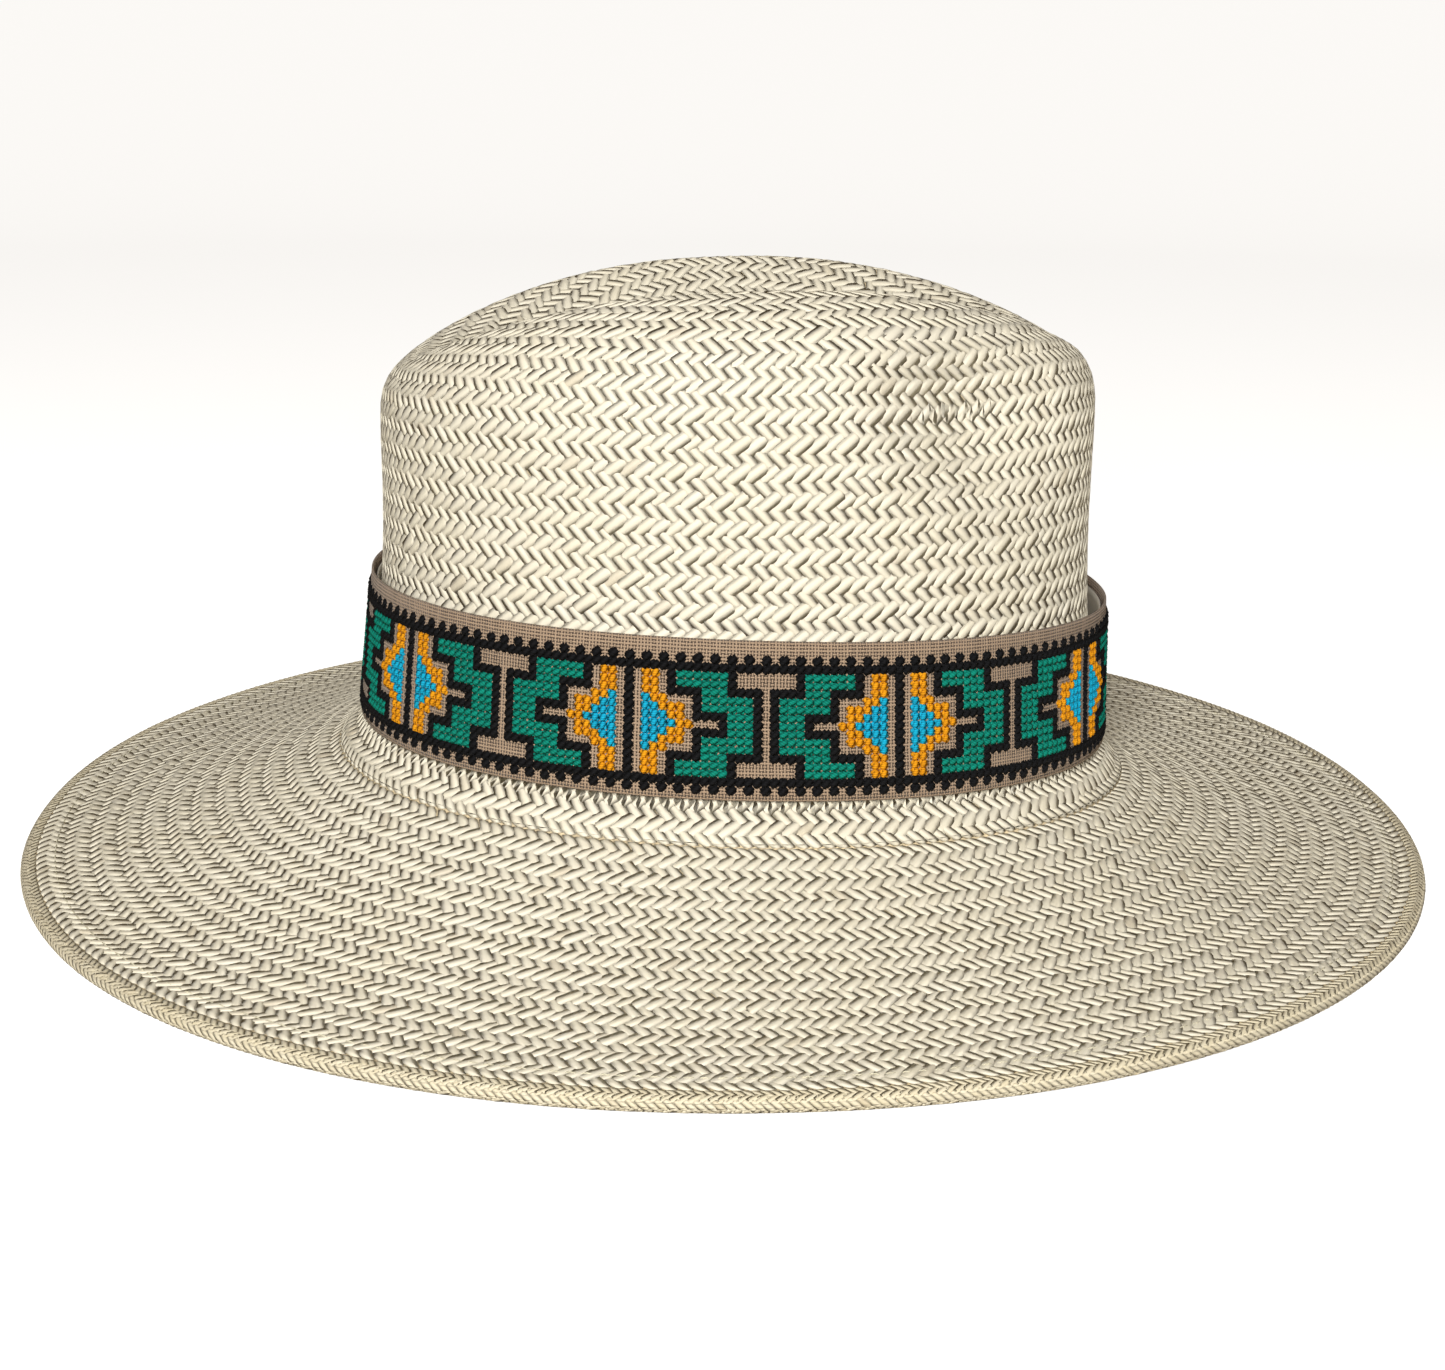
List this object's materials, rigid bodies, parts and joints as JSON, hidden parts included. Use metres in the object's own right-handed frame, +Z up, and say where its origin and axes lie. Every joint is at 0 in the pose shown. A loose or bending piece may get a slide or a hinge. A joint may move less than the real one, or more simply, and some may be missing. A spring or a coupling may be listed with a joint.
{
  "type": "panama hat",
  "caption": "Wide-brimmed woven straw hat with a creased, pinched crown, a turned-under brim edge and a slip-on linen band in cross-stitch.",
  "frame": {"origin": "bottom centre of the hat's box, on the surface that the brim's edge stands on", "axes": "+X to the front of the hat (the pinched end of the crown), +Y to the wearer's left, +Z up"},
  "size_m": [0.393, 0.373, 0.1562],
  "materials": {
    "straw": "woven toquilla straw in herringbone twill, off-white cream, soft sheen",
    "spring_wire": "fine spring steel wire",
    "sewing_thread": "cream sewing thread",
    "sweatband_tape": "ribbed cotton tape",
    "plastic_reed": "smooth plastic",
    "band_stiffener": "stiff interlining",
    "linen": "open plain-weave linen, natural taupe",
    "yarn_black": "black cross-stitch yarn",
    "yarn_teal": "teal green cross-stitch yarn",
    "yarn_orange": "orange cross-stitch yarn",
    "yarn_blue": "sky blue cross-stitch yarn"
  },
  "bodies": {
    "hat": {"straw_body": "straw", "brim_wire": "spring_wire", "brim_stitching": "sewing_thread", "sweatband": "sweatband_tape", "sweatband_reed": "plastic_reed", "sweatband_stitching": "sewing_thread", "sweatband_seam_tape": "sweatband_tape"},
    "band": {"band_lining": "band_stiffener", "linen_band": "linen", "embroidery_black": "yarn_black", "yarn_teal": "yarn_teal", "yarn_orange": "yarn_orange", "yarn_blue": "yarn_blue"}
  },
  "joints": [
    {"name": "band_slide", "type": "slide", "parent": "hat", "child": "band", "axis": [0, 0, 1], "range_m": [0, 0.14]}
  ]
}
